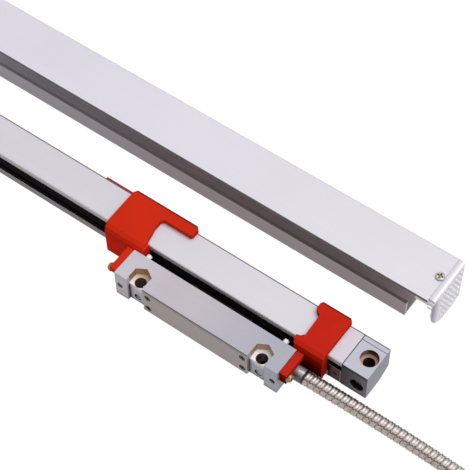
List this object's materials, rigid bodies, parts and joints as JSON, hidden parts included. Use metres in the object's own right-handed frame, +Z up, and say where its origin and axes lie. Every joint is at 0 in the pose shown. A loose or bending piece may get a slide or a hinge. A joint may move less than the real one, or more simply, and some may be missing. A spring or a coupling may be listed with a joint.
{
  "type": "linear glass scale",
  "caption": "Sealed linear encoder: glass scale in an aluminium housing with lip seals, sliding reader head on transport brackets, armoured cable with plug, and a perforated-end cover.",
  "frame": {"origin": "midway between the two mounting holes of the scale, on its back face, which lies on the table", "axes": "+X along the scale towards the end where the cable leaves the head, +Y from the reader head to the scale and on to the cover, +Z up from the back face"},
  "size_m": [0.6727, 0.1413, 0.0352],
  "materials": {
    "housing_aluminium": "fine matt anodised, natural",
    "block_aluminium": "milled and anodised, natural",
    "head_aluminium": "matt anodised, natural",
    "plate_aluminium": "brushed, warm grey",
    "cover_aluminium": "matt anodised, natural",
    "red_plastic": "moulded, satin gloss",
    "seal_rubber": "extruded, matt",
    "gasket_rubber": "die cut, matt",
    "clamp_plastic": "moulded, dark grey",
    "white_plastic": "turned, white",
    "steel": "plain screw steel",
    "dark_steel": "blackened screws",
    "brass": "turned",
    "bright_steel": "polished",
    "hose_steel": "interlocked steel hose, bright",
    "scale_glass": "polished, with a fine grating",
    "board": "green solder mask",
    "chip": "moulded, black",
    "carriage_metal": "die cast",
    "plug_metal": "die cast, plated",
    "plug_plastic": "moulded, black"
  },
  "bodies": {
    "scale": {"housing": "housing_aluminium", "right_end_block": "block_aluminium", "left_end_block": "block_aluminium", "right_gasket": "gasket_rubber", "left_gasket": "gasket_rubber", "upper_lip_seal": "seal_rubber", "lower_lip_seal": "seal_rubber", "seal_clamps": "clamp_plastic", "seal_clamp_screws": "steel", "air_port_screws": "steel", "end_block_screws": "steel", "glass_strip": "scale_glass", "glass_bead": "seal_rubber"},
    "reader": {"reader_block": "head_aluminium", "front_plate": "plate_aluminium", "front_plate_screws": "dark_steel", "amplifier_board": "board", "amplifier_chips": "chip", "coupling_blade": "steel", "coupling_pin": "steel", "scanning_carriage": "carriage_metal", "lamp_board": "board", "condenser_lens": "scale_glass", "index_glass": "scale_glass", "sensor_board": "board", "roller_axles": "steel", "left_bracket": "red_plastic", "right_bracket": "red_plastic", "bracket_screws": "brass", "spacer_pins": "white_plastic", "cable_ferrule": "bright_steel", "armoured_cable": "hose_steel", "cable_coil": "hose_steel", "cable_tail": "hose_steel", "plug_hood": "plug_metal", "plug_shell": "bright_steel", "plug_insert": "plug_plastic", "plug_contacts": "brass", "plug_screws": "steel"},
    "roller_1": {"roller_1": "bright_steel"},
    "roller_2": {"roller_2": "bright_steel"},
    "roller_3": {"roller_3": "bright_steel"},
    "roller_4": {"roller_4": "bright_steel"},
    "roller_5": {"roller_5": "bright_steel"},
    "cover": {"cover_channel": "cover_aluminium", "right_cover_cap": "cover_aluminium", "left_cover_cap": "cover_aluminium", "cover_cap_screws": "steel"}
  },
  "joints": [
    {"name": "reader_travel", "type": "slide", "parent": "scale", "child": "reader", "axis": [1, 0, 0], "range_m": [-0.176, 0.024]},
    {"name": "roller_1_turn", "type": "hinge", "parent": "reader", "child": "roller_1", "pos_m": [0.054, 0.0044, 0.01005], "axis": [0, 1, 0], "continuous": true},
    {"name": "roller_2_turn", "type": "hinge", "parent": "reader", "child": "roller_2", "pos_m": [0.098, 0.0044, 0.01005], "axis": [0, 1, 0], "continuous": true},
    {"name": "roller_3_turn", "type": "hinge", "parent": "reader", "child": "roller_3", "pos_m": [0.087, 0.0006, 0.01005], "axis": [0, 1, 0], "continuous": true},
    {"name": "roller_4_turn", "type": "hinge", "parent": "reader", "child": "roller_4", "pos_m": [0.054, -0.00395, 0.01335], "axis": [0, 0, 1], "continuous": true},
    {"name": "roller_5_turn", "type": "hinge", "parent": "reader", "child": "roller_5", "pos_m": [0.098, -0.00395, 0.01335], "axis": [0, 0, 1], "continuous": true},
    {"name": "cover_lift", "type": "slide", "parent": "scale", "child": "cover", "axis": [0, 0, 1], "range_m": [0, 0.08]}
  ],
  "couplings": [
    {"joint": "roller_1_turn", "follows": "reader_travel", "rad_per_m": -400},
    {"joint": "roller_2_turn", "follows": "reader_travel", "rad_per_m": -400},
    {"joint": "roller_3_turn", "follows": "reader_travel", "rad_per_m": -400},
    {"joint": "roller_4_turn", "follows": "reader_travel", "rad_per_m": 400},
    {"joint": "roller_5_turn", "follows": "reader_travel", "rad_per_m": 400}
  ]
}
